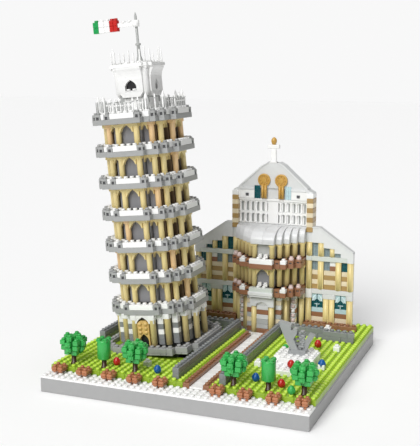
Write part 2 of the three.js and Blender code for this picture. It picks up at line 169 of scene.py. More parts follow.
def moulded_plastic(name, colour, roughness):
    """Glossy moulded plastic: each brick has its own slight tone, with faint flow marks and fine wear."""
    material = bpy.data.materials.new(name)
    material.use_nodes = True
    tree = material.node_tree
    shader = tree.nodes["Principled BSDF"]
    set_inputs(shader, {"IOR": 1.53, "Coat Weight": 0.12, "Coat Roughness": 0.12})

    tone = tree.nodes.new("ShaderNodeAttribute")
    tone.attribute_name = "tone"
    place = tree.nodes.new("ShaderNodeTexCoord")
    flow = noise(tree, place, 260, 3)

    spread = new_node(tree, "ShaderNodeMath", {1: 0.10})
    spread.operation = "MULTIPLY_ADD"
    link(tree, flow, "Fac", spread, 0)
    link(tree, tone, "Fac", spread, 2)
    hue = new_node(tree, "ShaderNodeHueSaturation", {"Color": (*colour, 1), "Saturation": 1.02})
    link(tree, spread, 0, hue, "Value")
    link(tree, hue, "Color", shader, "Base Color")

    wear = noise(tree, place, 1500, 4)
    glossiness = {"To Min": roughness - 0.08, "To Max": roughness + 0.12}
    gloss = new_node(tree, "ShaderNodeMapRange", glossiness)
    link(tree, wear, "Fac", gloss, "Value")
    link(tree, gloss, "Result", shader, "Roughness")

    bump = new_node(tree, "ShaderNodeBump", {"Strength": 0.12, "Distance": 0.00004})
    link(tree, wear, "Fac", bump, "Height")
    link(tree, bump, "Normal", shader, "Normal")
    return material


MATERIALS = {name: moulded_plastic(name, *look) for name, look in PLASTICS.items()}


# ---- the brick kit ----
def chamfered_box():
    """Faces of a box whose corner n holds three points, n * 3 + axis, each lying on one of its sides."""
    corners = [(x, y, z) for x in (-1, 1) for y in (-1, 1) for z in (-1, 1)]
    faces = []
    for axis in range(3):
        a, b = [other for other in range(3) if other != axis]

        def first_point(side, u, v):
            corner = [0, 0, 0]
            corner[axis], corner[a], corner[b] = side, u, v
            return corners.index(tuple(corner)) * 3

        for side in (-1, 1):
            faces.append([first_point(side, u, v) + axis for u, v in ((-1, -1), (1, -1), (1, 1), (-1, 1))])
        for u in (-1, 1):
            for v in (-1, 1):
                low, high = first_point(-1, u, v), first_point(1, u, v)
                faces.append([low + a, high + a, high + b, low + b])
    faces += [[n * 3, n * 3 + 1, n * 3 + 2] for n in range(8)]
    points = []
    for corner in corners:
        for axis in range(3):
            points.append([corner[a] * (1 if a == axis else 0.8) for a in range(3)])
    for face in faces:
        a, b, c = (Vector(points[n]) for n in face[:3])
        if (b - a).cross(c - a).dot(a + b + c) < 0:
            face.reverse()
    return corners, faces


BOX_CORNERS, BOX_FACES = chamfered_box()


def quarter_turned(x, y, turns):
    for _ in range(turns):
        x, y = -y, x
    return x, y


def circle(sides):
    """The corners of a regular outline with a radius of one."""
    angles = [2 * math.pi * n / sides for n in range(sides)]
    return [(math.cos(angle), math.sin(angle)) for angle in angles]


def band_faces(levels, sides):
    """The faces between each level of a turned shape and the next."""
    faces = []
    for level in range(levels - 1):
        for n in range(sides):
            a = level * sides + n
            b = level * sides + (n + 1) % sides
            faces.append([a, b, b + sides, a + sides])
    return faces


def turned_faces(levels, sides):
    """The bands of a turned shape and its two flat ends."""
    last = (levels - 1) * sides
    return band_faces(levels, sides) + [list(range(sides))[::-1], list(range(last, last + sides))]


def in_scene(name, data):
    """A new object in the scene."""
    obj = bpy.data.objects.new(name, data)
    bpy.context.scene.collection.objects.link(obj)
    return obj


class Kit:
    """Collects bricks in studs, in the space of one matrix, and makes one object of them."""

    def __init__(self, matrix):
        self.matrix = matrix
        self.points = []
        self.faces = []
        self.colours = []
        self.smooth = []
        self.tones = []
        self.turns = 0

    def quarters(self):
        """Yields 0 to 3 while whatever is added is turned by as many quarters about the z axis."""
        for self.turns in range(4):
            yield self.turns
        self.turns = 0

    def add(self, points, faces, colour, smooth=()):
        """Adds one closed shape. smooth holds the numbers of its round faces."""
        first = len(self.points)
        for x, y, z in points:
            x, y = quarter_turned(x, y, self.turns)
            self.points.append((x, y, z))
        self.faces += [[first + n for n in face] for face in faces]
        self.colours += [colour] * len(faces)
        rounded = set(smooth)
        self.smooth += [n in rounded for n in range(len(faces))]
        self.tones += [1 + random.uniform(-0.09, 0.03)] * len(points)

    def box(self, x0, x1, y0, y1, z0, z1, colour="white", chamfer=CHAMFER):
        points = []
        for corner in BOX_CORNERS:
            outer = [pair[side > 0] for pair, side in zip(((x0, x1), (y0, y1), (z0, z1)), corner)]
            for axis in range(3):
                points.append([outer[a] - (0 if a == axis else chamfer * corner[a]) for a in range(3)])
        self.add(points, BOX_FACES, colour)

    def lathe(self, x, y, profile, colour="white", sides=ROUND):
        """A turned shape standing at x, y. profile lists (radius, height) from the bottom to the top."""
        points = [(x + radius * u, y + radius * v, z) for radius, z in profile for u, v in circle(sides)]
        faces = turned_faces(len(profile), sides)
        self.add(points, faces, colour, smooth=range(len(faces) - 2))

    def prism(self, outline, start, end, colour, plane="xz"):
        """An outline drawn out from start to end across its plane."""
        around = zip(outline, outline[1:] + outline[:1])
        if sum(a[0] * b[1] - b[0] * a[1] for a, b in around) < 0:
            outline = outline[::-1]
        count = len(outline)
        points = [(u, w, v) if plane == "xz" else (w, u, v) for w in (start, end) for u, v in outline]
        faces = [list(range(count)), list(range(2 * count - 1, count - 1, -1))]
        for n in range(count):
            after = (n + 1) % count
            faces.append([n, n + count, after + count, after])
        if plane == "yz":
            faces = [face[::-1] for face in faces]
        self.add(points, faces, colour)

    def ring(self, x, y, inner, outer, bottom, top, colour, sides=20):
        """A flat ring round the z axis."""
        section = ((inner, bottom), (outer, bottom), (outer, top), (inner, top))
        points = [(x + radius * u, y + radius * v, z) for radius, z in section for u, v in circle(sides)]
        faces = [[corner % len(points) for corner in face] for face in band_faces(5, sides)]
        walls = [n for n in range(len(faces)) if n // sides in (1, 3)]
        self.add(points, faces, colour, walls)

    def ball(self, x, y, z, radius, colour, sides=12):
        """A round knob."""
        angles = [math.pi * n / 8 for n in range(1, 8)]
        profile = [(radius * math.sin(angle), z - radius * math.cos(angle)) for angle in angles]
        self.lathe(x, y, profile, colour, sides)

    def disc_facing(self, x, y, z, profile, colour, sides=28):
        """A turned shape whose axis points to the front. profile lists (radius, distance in front of y)."""
        corners = circle(sides)
        points = [(x + radius * u, y - out, z + radius * v) for radius, out in profile for u, v in corners]
        self.add(points, turned_faces(len(profile), sides), colour)

    def stud(self, x, y, z, colour="white"):
        edge = 0.045
        rim = STUD_RADIUS - edge
        profile = [(STUD_RADIUS, z - 0.05), (STUD_RADIUS, z + STUD_HEIGHT - edge), (rim, z + STUD_HEIGHT)]
        self.lathe(x, y, profile, colour)

    def brick(self, x, y, z, wide=1, deep=1, tall=COURSE, colour="white", studs=False):
        """A brick by its lowest corner and size, with its studs if they show."""
        bottom, top = z + SEAM / 2, z + tall - SEAM / 2
        self.box(x + SEAM, x + wide - SEAM, y + SEAM, y + deep - SEAM, bottom, top, colour)
        if studs:
            for i in range(round(wide)):
                for j in range(round(deep)):
                    self.stud(x + i + 0.5, y + j + 0.5, z + tall, colour)

    def cell(self, x, y, z0, z1, colour="white", inset=0.02, chamfer=CHAMFER):
        """A one-stud block from z0 to z1."""
        self.box(x + inset, x + 1 - inset, y + inset, y + 1 - inset, z0, z1, colour, chamfer)

    def course(self, cells, z, colour, tall=COURSE, studs=False, longest=4):
        """Covers cells with bricks up to longest studs long, laid along whichever way they run on."""
        left = set(cells)
        for cell in sorted(cells, key=lambda c: (c[1], c[0])):
            if cell not in left:
                continue
            runs = []
            for step in ((1, 0), (0, 1)):
                run = [cell]
                while len(run) < longest:
                    following = (run[-1][0] + step[0], run[-1][1] + step[1])
                    if following not in left:
                        break
                    run.append(following)
                runs.append(run)
            run = max(runs, key=len)
            left -= set(run)
            wide = run[-1][0] - cell[0] + 1
            deep = run[-1][1] - cell[1] + 1
            self.brick(*cell, z, wide, deep, tall, colour, studs)

    def make(self, node, name=None, body="model"):
        """Makes the object, parents it to the body's empty and hides the CAD node if there is one."""
        name = name or f"{node}_bricks"
        mesh = bpy.data.meshes.new(name)
        mesh.from_pydata([self.matrix @ Vector(p) for p in self.points], [], self.faces)
        used = sorted(set(self.colours))
        for colour in used:
            mesh.materials.append(MATERIALS[colour])
        number = {colour: n for n, colour in enumerate(used)}
        mesh.polygons.foreach_set("material_index", [number[colour] for colour in self.colours])
        mesh.polygons.foreach_set("use_smooth", self.smooth)
        tone = mesh.attributes.new("tone", "FLOAT", "POINT")
        tone.data.foreach_set("value", self.tones)
        mesh.update()
        obj = in_scene(name, mesh)
        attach(obj, body)
        if node:
            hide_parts(node)


def disc(rows):
    """The cells of a stepped circle."""
    radius = len(rows)
    cells = set()
    for k, half in enumerate(rows):
        for x in range(-half, half):
            cells |= {(x, k - radius), (x, radius - k - 1)}
    return cells


def rim(cells):
    """The cells that have a side or a corner outside."""
    around = [(i, j) for i in (-1, 0, 1) for j in (-1, 0, 1)]
    return {c for c in cells if any((c[0] + i, c[1] + j) not in cells for i, j in around)}


def pointed_arch(half, spring, tip, middle=0.0):
    """A pointed arch from its left spring over its tip to its right spring, as (x, z)."""
    bulge = 0.16 * half
    steps = 6
    points = []
    for n in range(steps + 1):
        t = n / steps
        swell = bulge * math.sin(math.pi * t)
        points.append((half * (1 - t) + swell, spring + (tip - spring) * t + 0.5 * swell * (1 - t)))
    return [(middle - x, z) for x, z in points] + [(middle + x, z) for x, z in points[::-1][1:]]


# ---- base slab ----
def base_slab():
    kit = Kit(SITE)
    thick = (slab_high[2] - slab_low[2]) / STUD
    size = SLAB_STUDS
    plate = 0.25
    kit.box(0, size, 0, size, -thick, -plate, "slab_grey", chamfer=0.06)
    kit.box(0.01, size - 0.01, 0.01, 3, -plate, 0, chamfer=0.03)
    kit.box(0.01, size - 0.01, 3.01, size - 0.01, -plate, 0, "slab_grey", chamfer=0.03)
    for x in range(size):
        for y in range(3):
            kit.stud(x + 0.5, y + 0.5, 0)
    kit.make("base_slab", "slab")


base_slab()


# ---- gardens ----
def block_cells(x0, x1, y0, y1):
    return {(x, y) for x in range(x0, x1) for y in range(y0, y1)}


LEFT_WALL = block_cells(19, 20, 4, 30) | block_cells(1, 19, 29, 30) | block_cells(1, 2, 16, 29)
RIGHT_WALL = (
    block_cells(26, 27, 4, 31)
    | block_cells(27, 34, 30, 31)
    | block_cells(34, 35, 29, 31)
    | block_cells(35, 39, 29, 30)
)
LEFT_LAWN = block_cells(0, 21, 3, 30) | block_cells(0, 17, 30, 35) | block_cells(0, 9, 35, 40)
RIGHT_LAWN = block_cells(25, 40, 3, 31) | block_cells(29, 40, 31, 35) | block_cells(37, 40, 35, 40)
UNDER_TOWER = block_cells(3, 19, 11, 27)
UNDER_FOUNTAIN = block_cells(31, 36, 14, 19)


def lawn(name, cells, bare):
    """Lime bricks darkened as painted shade under the bright studs; no studs where something stands."""
    kit = Kit(SITE)
    kit.course(cells, 0, "turf")
    for x, y in sorted(cells - bare):
        kit.stud(x + 0.5, y + 0.5, COURSE, "lime")
    kit.make(name, name)


def garden_wall(name, cells, post=None):
    kit = Kit(SITE)
    kit.course(cells, COURSE, "grey", longest=3)
    kit.course(cells, 2 * COURSE, "grey", studs=True)
    if post:
        kit.brick(*post, 3 * COURSE, tall=0.3, studs=True)
    kit.make(name, name)


def path():
    """Smooth white tiles that widen in front of the apse."""
    kit = Kit(SITE)
    thick = 0.4 * COURSE
    for y in range(3, 29, 2):
        kit.box(22 + SEAM, 24 - SEAM, y + SEAM, y + 2 - SEAM, 0, thick)
    for x0, x1, y in ((22, 24, 29), (21, 22, 29), (20, 21, 30)):
        kit.box(x0 + SEAM, x1 - SEAM, y + SEAM, 31, 0, thick)
    kit.make("path", "path_tiles")


lawn("lawn_left", LEFT_LAWN - block_cells(5, 17, 13, 25), LEFT_WALL | UNDER_TOWER)
lawn("lawn_right", RIGHT_LAWN, RIGHT_WALL | UNDER_FOUNTAIN)
garden_wall("garden_wall_left", LEFT_WALL)
garden_wall("garden_wall_right", RIGHT_WALL, post=(34, 30))
path()

for name, column, end in (("path_edging_left", 21, 29), ("path_edging_right", 24, 31)):
    edging = Kit(SITE)
    edging.course(block_cells(column, column + 1, 3, end), 0, "brown", studs=True)
    edging.make(name, name)

for name, columns, base in (("border_row_left", (9, 17), 0), ("border_row_right", (29, 38), 1)):
    border = Kit(SITE @ Matrix.Translation((0, 0.4, 0)))
    for level in range(base, 2):
        border.course(block_cells(*columns, 35, 36), level * COURSE, "brown", studs=level == 1, longest=3)
    border.make(name, name)


# ---- planters ----
def stands_at(name):
    """The point of the slab's top under the middle of a CAD node."""
    low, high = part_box(name)
    return Matrix.Translation(((low[0] + high[0]) / 2, (low[1] + high[1]) / 2, slab_high[2]))


def planter(name):
    """Four small lobed bricks on notched feet, with a stud on each."""
    kit = Kit(stands_at(name) @ Matrix.Scale(STUD, 4))
    kit.lathe(0, 0, [(0.35, 0.02), (0.35, 0.4), (0.55, 0.45)], "copper")
    for _ in kit.quarters():
        kit.box(0.3, 0.66, 0.3, 0.66, 0.02, 0.5, "copper", chamfer=0.08)
        kit.box(0.03, 0.88, 0.03, 0.88, 0.42, 0.8, "copper", chamfer=0.14)
        kit.box(0.06, 0.9, 0.06, 0.9, 0.74, 1.16, "copper", chamfer=0.1)
        kit.lathe(0.48, 0.48, [(0.27, 1.1), (0.27, 1.4), (0.22, 1.46)], "copper", sides=10)
    kit.lathe(0, 0, [(0.2, 0.9), (0.22, 1.2), (0.15, 1.3)], "copper", sides=8)
    kit.make(name, f"{name}_tub")


for n in range(9):
    planter(f"planter_{n + 1}")


# ---- trees ----
def trunk(kit):
    profile = [(0.5, COURSE), (0.5, COURSE + 0.25), (0.36, COURSE + 0.35), (0.36, 3.1 * COURSE)]
    kit.lathe(0, 0, profile, "trunk")


def pillar_tree(kit):
    """A smooth round column with four tall studs."""
    edge = [(0.88, 2.8 * COURSE), (0.98, 2.9 * COURSE), (0.98, 6.15 * COURSE), (0.92, 6.3 * COURSE)]
    kit.lathe(0, 0, edge, "green", sides=28)
    for turns in range(4):
        x, y = quarter_turned(0.52, 0.52, turns)
        kit.lathe(x, y, [(0.36, 5.2), (0.36, 5.25), (0.3, 5.27), (0.3, 5.36)], "green", sides=14)
        kit.box(x - 0.34, x + 0.34, y - 0.34, y + 0.34, 4.9, 5.16, "green", chamfer=0.06)


# Lobes of a leafy crown: distance from the axis, height of the underside, and whether they stand on the
# diagonals.
LOBES = (
    (0.62, 3.0, True), (1.25, 3.75, False), (0.95, 4.0, True), (1.45, 4.7, False), (1.05, 5.0, True),
    (1.0, 5.65, False),
)


def leafy_tree(kit):
    """A ball-shaped crown: one-stud bricks reach out of a dark heart on all sides, with studs on top."""
    kit.box(-0.6, 0.6, -0.6, 0.6, 2.9 * COURSE, 6.1 * COURSE, "green")
    kit.box(-0.5, 0.5, -0.5, 0.5, 6.0 * COURSE, 6.5 * COURSE, "green")
    size = 0.42
    for reach, level, diagonal in LOBES:
        z = level * COURSE
        for turns in range(4):
            x, y = quarter_turned(reach, reach if diagonal else 0.0, turns)
            kit.box(x - size, x + size, y - size, y + size, z, z + 0.7, "green", chamfer=0.07)
            kit.lathe(x, y, [(0.3, z + 0.65), (0.3, z + 0.9), (0.25, z + 0.95)], "green", sides=10)
            if not diagonal:
                kit.turns = turns
                kit.box(reach - 0.1, reach + size + 0.12, -0.26, 0.26, z + 0.1, z + 0.6, "green", chamfer=0.1)
                kit.turns = 0


def tree(name):
    low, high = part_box(name)
    pillar = high[0] - low[0] < 3 * STUD
    turn = Matrix.Rotation(0 if pillar else random.uniform(-0.06, 0.06), 4, "Z")
    kit = Kit(stands_at(name) @ turn @ Matrix.Scale(STUD, 4))
    trunk(kit)
    if pillar:
        pillar_tree(kit)
    else:
        leafy_tree(kit)
    kit.make(name)


for side in ("left", "right"):
    for n in range(3):
        tree(f"tree_{side}_{n + 1}")


# ---- flowers ----
# Places on the lawns; the third number is how high a flower on the fountain's terrace stands.
FLOWERS = {
    "red": [(9.5, 5.5, 0), (34.5, 24.5, 0), (34.1, 11.4, COURSE), (34.5, 5.5, 0)],
    "blue": [(16.5, 4.5, 0), (37.5, 15.5, 0), (30.5, 6.5, 0)],
    "green": [(36.5, 3.5, 0), (30.5, 20.5, 0)],
}
WHITE_BRICKS = [(13, 7), (28, 13), (37, 24), (14, 28), (37, 15)]


def flowers():
    """Bud-shaped blooms on the lawn studs and loose white bricks between them."""
    kit = Kit(SITE)
    bud = [(0.22, 1.0), (0.3, 1.15), (0.52, 1.5), (0.5, 1.85), (0.34, 2.15), (0.14, 2.3)]
    petal = [(0.1, 1.2), (0.2, 1.6), (0.1, 1.95)]
    for colour, places in FLOWERS.items():
        for x, y, lift in places:
            kit.lathe(x, y, [(radius, z + lift) for radius, z in bud], colour, sides=10)
            for turns in range(4):
                dx, dy = quarter_turned(0.4, 0, turns)
                kit.lathe(x + dx, y + dy, [(radius, z + lift) for radius, z in petal], colour, sides=6)
    for x, y in WHITE_BRICKS:
        kit.brick(x, y, COURSE, studs=True)
    kit.make(None, "flowers")


flowers()


# ---- fountain ----
def fountain():
    basin_low, basin_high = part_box("fountain_basin")
    vase_low, vase_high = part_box("fountain_sculpture")
    middle = ((basin_low[0] + basin_high[0]) / 2, (vase_low[1] + vase_high[1]) / 2, slab_high[2])
    centre = Matrix.Translation(middle)
    place = centre @ Matrix.Scale(STUD, 4)
    basin = Kit(place)
    rows = (2, 3, 3)
    round_part = disc(rows)
    terrace = round_part | block_cells(-3, 3, -5, 0) | block_cells(-2, 2, -6, -5)
    basin.course(terrace - disc((1, 2)), COURSE, "white", longest=3)
    for x, y in sorted(terrace - round_part):
        basin.stud(x + 0.5, y + 0.5, 2 * COURSE)
    basin.course(round_part, 2 * COURSE, "white", longest=3)
    for x, y in sorted(round_part - block_cells(-1, 1, -1, 1)):
        basin.stud(x + 0.5, y + 0.5, 3 * COURSE)
    basin.make("fountain_basin")

    # A broad smooth wing on the left, a slimmer one on the right and a rough middle between them.
    vase = Kit(place)
    vase.prism([(-0.7, 2.42), (1.4, 2.42), (1.45, 3.2), (-0.7, 3.2)], -0.8, 0.8, "sculpture")
    vase.box(-1.25, -0.72, -0.5, 0.5, 2.42, 2.9, "sculpture")
    vase.stud(-0.98, 0, 2.9, "sculpture")
    left_wing = [(-0.7, 3.2), (0.3, 3.2), (-0.05, 4.0), (-0.4, 4.75), (0.1, 5.6), (0.1, 6.3), (-0.45, 6.35),
                 (-0.45, 6.05), (-0.8, 6.05), (-0.8, 6.85), (-1.5, 7.05), (-2.6, 7.25), (-2.55, 6.7),
                 (-1.9, 5.2), (-1.3, 3.9)]
    vase.prism(left_wing, -0.75, 0.2, "sculpture")
    right_wing = [(0.9, 3.2), (1.45, 3.2), (1.9, 4.2), (2.55, 5.3), (1.8, 5.65), (1.45, 5.0), (1.0, 4.2)]
    vase.prism(right_wing, -0.2, 0.75, "sculpture")
    for n in range(8):
        level = 3.2 + 0.32 * n
        x = 0.45 + (0.3 if n % 2 else -0.15) + random.uniform(-0.1, 0.1)
        colour = "sculpture" if n % 2 else "grey"
        vase.box(x - 0.42, x + 0.42, -0.55 + 0.05 * n, 0.5, level, level + 0.3, colour)
        if n % 2:
            vase.stud(x + 0.1, -0.1, level + 0.3, "sculpture")
    vase.make("fountain_sculpture")


fountain()


# ---- tower ----
def tower_foot():
    """A studded parapet ring on a plate, held up by a stair of dark grey plates under its high side; their
    dark colour is painted shade of the gap under the ring.
    """
    kit = Kit(TOWER)
    foot = disc(FOOT_ROWS)
    edge = {(x, y) for x, y in foot if not {(x - 1, y), (x + 1, y), (x, y - 1), (x, y + 1)} <= foot}
    kit.course(foot - disc(CORE_ROWS), 0.3, "slab_grey", tall=0.3)
    kit.course(edge, 0.6, "slab_grey", studs=True, longest=3)
    kit.box(-6.6, 6.6, -4.5, 4.5, 0.32, FOOT_TOP - 0.9, "grey")
    # Dark grey supports: painted shade of the gap between the tilted ring and the lawn.
    for x in range(-4, 5):
        drop = (TOWER_AT[2] + x * math.sin(LEAN)) / math.cos(LEAN) - 0.12
        for y in (-6, -5, 4, 5):
            kit.cell(x, y, -drop, 0.32, "dark_grey", inset=0.03)
    kit.make("tower_foot")


PILASTERS = ((1, 6), (3, 5), (5, 3), (6, 1))
PANELS = ((2, 5), (4, 4), (5, 2))
PANEL_COURSES = ("grey", "grey", "white", "grey", "white", "white")


def mirrored_cells(cells):
    """Cells given as (|x|, |y|) in all four quarters, as their lowest corners."""
    return [(i, j) for x, y in cells for i in (x, -x - 1) for j in (y, -y - 1)]


def tower_ground_floor():
    kit = Kit(TOWER)
    kit.course(rim(disc(CORE_ROWS)), FOOT_TOP, "light_grey", tall=FIRST_RING - FOOT_TOP)
    for x, y in mirrored_cells(PILASTERS):
        kit.lathe(x + 0.5, y + 0.5, [(0.47, FOOT_TOP), (0.47, 5.35), (0.5, 5.4)], "tan", sides=16)
        kit.cell(x, y, 5.4, FIRST_RING - 0.02, inset=0)
    for x, y in mirrored_cells(PANELS + ((0, 5), (5, 0))):
        if (x, y) in ((0, -6), (-1, -6)):
            continue
        for n, colour in enumerate(PANEL_COURSES):
            z = FOOT_TOP + n * COURSE
            kit.cell(x, y, z + 0.01, z + COURSE - 0.01, colour)
    top = FIRST_RING - 0.03
    for _ in kit.quarters():
        # Gabled white heads over the wide middle bay and over the narrow bays beside it.
        arch = pointed_arch(1, 5.0, 5.9)
        head = [(-1.9, 4.9), (-1, 4.9)] + arch + [(1, 4.9), (1.9, 4.9), (1.9, top), (-1.9, top)]
        kit.prism(head, -6.9, -6.1, "white")
        for x0 in (-3, 2):
            head = [(x0, 5.3), (x0 + 0.5, 5.95), (x0 + 1, 5.3), (x0 + 1, top), (x0, top)]
            kit.prism(head, -6, -5.2, "white")
    kit.make("tower_ground_floor")


def tower_door():
    """A gold block carved with round lobes over a black pointed doorway."""
    kit = Kit(TOWER)
    arch = pointed_arch(0.78, 2.35, 3.3)
    outline = [(-0.95, 1.5), (-0.78, 1.5)] + arch + [(0.78, 1.5), (0.95, 1.5)]
    kit.prism(outline + [(0.95, 4.9), (0.5, 5.3), (-0.5, 5.3), (-0.95, 4.9)], -6.85, -6.25, "door_gold")
    kit.box(-0.9, 0.9, -6.2, -6.05, 1.45, 3.45, "black")
    kit.box(-0.95, 0.95, -6.2, -6.05, 3.5, 5.2, "dark_grey")
    for z in (3.55, 4.2, 4.85):
        for x in (-0.48, 0.48):
            kit.ball(x, -6.85, z, 0.33, "door_gold")
    kit.make("tower_door")


def gallery(n):
    """A smooth grey cornice under a white parapet, with notched grey corner pieces."""
    kit = Kit(TOWER)
    bottom = FIRST_RING + n * STOREY
    ring, parapet = disc(RING_ROWS), disc(PARAPET_ROWS)
    inner = disc(CORE_ROWS)
    kit.course(ring - inner if n < STOREYS else ring, bottom, "cornice", longest=6)
    white = rim(parapet)
    kit.course(white, bottom + COURSE, "white", studs=True)
    if n == STOREYS:
        kit.course(parapet - white, bottom + COURSE, "white", studs=True)
    for x, y in sorted(ring - parapet):
        notched_brick(kit, x, y, bottom + COURSE)
    kit.make(f"tower_gallery_{n + 1}")


def notched_brick(kit, x, y, z, colour="cornice", stud=True):
    """A one-stud brick hollowed by an arch on each side; a dark grey block inside is painted shade in the
    hollow.
    """
    edge, foot = 0.03, 0.24
    for i in (x + edge, x + edge + 0.67):
        for j in (y + edge, y + edge + 0.67):
            kit.box(i, i + foot, j, j + foot, z, z + 0.45, colour, chamfer=0.02)
    kit.cell(x, y, z + 0.42, z + COURSE - 0.02, colour, inset=edge)
    # Painted shade: a dark grey block fills the hollow under the arches.
    kit.cell(x, y, z, z + 0.45, "dark_grey", inset=0.2, chamfer=0.02)
    if stud:
        kit.stud(x + 0.5, y + 0.5, z + COURSE, colour)


COLUMNS = ((1, 5), (3, 4), (4, 3), (5, 1))


def arch_head(kit, middle, half, margin, spring, tip, top, front, back):
    """A tan block with a pointed arch cut into its underside."""
    left, right = middle - half - margin, middle + half + margin
    arch = pointed_arch(half, spring, tip, middle)
    kit.prism([(left, spring)] + arch + [(right, spring), (right, top), (left, top)], front, back, "tan")


def arcade(n):
    """Round columns with pointed arches between them, in front of a grey core that is dark brown at the sides
    as painted shade.
    """
    kit = Kit(TOWER)
    bottom = FIRST_RING + 2 * COURSE + n * STOREY
    top = bottom + 4 * COURSE - 0.02
    core = rim(disc(CORE_ROWS))
    # The core at the sides is dark brown: painted shade in the side openings.
    sides = {(x, y) for x, y in core if x >= 3 or x < -3}
    kit.course(core - sides, bottom, "core", tall=top - bottom)
    kit.course(sides, bottom, "core_brown", tall=top - bottom)
    for x, y in mirrored_cells(COLUMNS):
        colour = "peach" if random.random() < 0.22 else "tan"
        foot = [(0.4, bottom), (0.4, bottom + 0.15), (0.44, bottom + 0.2)]
        shaft = foot + [(0.44, top - 0.5), (0.46, top - 0.45)]
        kit.lathe(x + 0.5, y + 0.5, shaft, colour, sides=16)
        kit.cell(x, y, top - 0.5, top, colour)
    for _ in kit.quarters():
        arch_head(kit, 0, 1, 0.1, top - 1.25, top - 0.12, top, -5.95, -5.25)
        for middle in (-2.5, 2.5):
            arch_head(kit, middle, 0.5, 0.05, top - 1.1, top - 0.3, top, -4.95, -4.3)
        for x in (-2.95, 2.05):
            kit.box(x, x + 0.9, -4.25, -4.02, bottom, top, "core")
    kit.make(f"tower_arcade_{n + 1}")


def lattice(kit, x, y, z, wide, tall):
    """A pierced fence panel: upright bars with knobs on them and three rails."""
    bars = round(wide / 0.33)
    for n in range(bars + 1):
        at = x + wide * n / bars
        # Every other bar is light grey: painted shade of the holes in the fence.
        colour = "white" if n % 2 else "light_grey"
        kit.box(at - 0.07, at + 0.07, y - 0.09, y + 0.09, z, z + tall, colour, chamfer=0.02)
        kit.ball(at, y, z + tall * 0.72, 0.15, "white", sides=6)
    # Light grey rails: painted shade, as on the bars.
    for level in (0.12, 0.45, 0.95):
        rail = z + tall * level
        kit.box(x, x + wide, y - 0.06, y + 0.06, rail - 0.05, rail + 0.05, "light_grey", chamfer=0.02)


def spire(kit, x, y, z, tall):
    """A ribbed finial with a pointed top."""
    shoulder = z + 0.6 * tall
    shaft = [(0.46, z), (0.46, z + 0.2), (0.34, z + 0.26), (0.34, shoulder), (0.26, z + 0.78 * tall),
             (0.02, z + tall)]
    kit.lathe(x, y, shaft, sides=8)
    # The ribs are light grey: painted shade between them.
    for k in range(6):
        angle = k * math.pi / 3
        rib = [(0.08, z + 0.22), (0.08, shoulder), (0.02, shoulder + 0.25)]
        kit.lathe(x + 0.38 * math.cos(angle), y + 0.38 * math.sin(angle), rib, "light_grey", sides=6)


# Pickets on each side of the top gallery: x, y and height.
GALLERY_PICKETS = ((2.2, -5.5, 2.1), (-2.2, -5.5, 2.1), (4.5, -4.5, 2.3), (1.85, -6.5, 2), (-1.85, -6.5, 2))


def balustrade():
    kit = Kit(TOWER)
    z = RING_TOP
    for _ in kit.quarters():
        lattice(kit, -1.8, -6.5, z, 3.6, 1.5)
        lattice(kit, 2.1, -5.5, z, 0.9, 1.7)
        lattice(kit, -3.0, -5.5, z, 0.9, 1.7)
        spire(kit, 3.5, -5.4, z, 2.8)
        spire(kit, 5.4, -3.5, z, 2.8)
        for x, y, tall in GALLERY_PICKETS:
            picket = [(0.15, z), (0.12, z + 0.8), (0.12, z + tall), (0.05, z + tall + 0.1)]
            kit.lathe(x, y, picket, sides=8)
            # Light grey rings: painted shade, as on the lattice.
            kit.ring(x, y, 0.1, 0.2, z + 0.75 * tall, z + 0.8 * tall, "light_grey", sides=8)
    kit.make("tower_balustrade")


def belfry():
    """White bell chamber: waisted foot, four arched faces between round corner shafts, flared crown."""
    kit = Kit(TOWER)
    z = RING_TOP
    kit.box(-2.3, 2.3, -1.6, 1.6, z, z + 2)
    kit.box(-1.6, 1.6, -2.3, 2.3, z, z + 2.01)
    kit.box(-2.28, 2.28, -2.28, 2.28, z + 1.2, 43.2, "light_grey")
    for turns in kit.quarters():
        # Each face: tapered foot, arched wall, curved flare, and a black sheet behind the arch as the painted
        # shade of the bell opening.
        flare = [(-2.98, 41.4), (-3.02, 41.8), (-3.12, 42.2), (-3.28, 42.6), (-3.48, 42.95), (-3.55, 43.2),
                 (-2.2, 43.2), (-2.2, 41.4)]
        kit.prism(flare[::-1], -2.0, 2.0, "white", plane="yz")
        kit.prism([(-1.4, 38.75), (1.4, 38.75), (2, 39.52), (-2, 39.52)], -2.95, -2.2, "white")
        half = 0.95 if turns % 2 == 0 else 0.55
        arch = pointed_arch(half, 40.4, 41.35)
        face = [(-2, 39.5), (-half, 39.5)] + arch + [(half, 39.5), (2, 39.5), (2, 41.42), (-2, 41.42)]
        kit.prism(face, -2.98, -2.5, "white")
        # Black sheet: painted shade inside the bell opening.
        kit.box(-half - 0.1, half + 0.1, -2.5, -2.3, 39.5, 41.38, "black")
        kit.box(-half, half, -2.95, -2.52, 39.5, 39.75)
        for x in (-0.5, 0.5):
            if half > 0.9:
                kit.stud(x, -2.72, 39.72)
        # A slim round shaft in each corner with a small block on its head.
        kit.lathe(2.3, -2.3, [(0.2, 38.9), (0.5, 39.5), (0.5, 42.55), (0.62, 42.9)], sides=20)
        kit.box(1.95, 2.85, -2.85, -1.95, 42.9, 43.55)
    kit.course(disc((2, 3, 3)) | disc((3, 3, 2)), 43.2, "white", tall=0.55, longest=3)
    kit.box(-3.55, 3.55, -2.4, 2.4, 43.2, 43.7)
    kit.box(-2.4, 2.4, -3.55, 3.55, 43.2, 43.71)
    for x, y in sorted(rim(disc((2, 3, 3)))):
        kit.stud(x + 0.5, y + 0.5, 43.72)
    for _ in kit.quarters():
        for x, y, tall in ((2.1, -3.2, 1.9), (2.6, -2.6, 2.3), (3.2, -2.1, 1.9), (2.9, -1.4, 1.6)):
            picket = [(0.15, 43.7), (0.12, 43.7 + 0.3 * tall), (0.1, 43.7 + tall), (0.04, 43.8 + tall)]
            kit.lathe(x, y, picket, sides=8)
    kit.make("belfry")


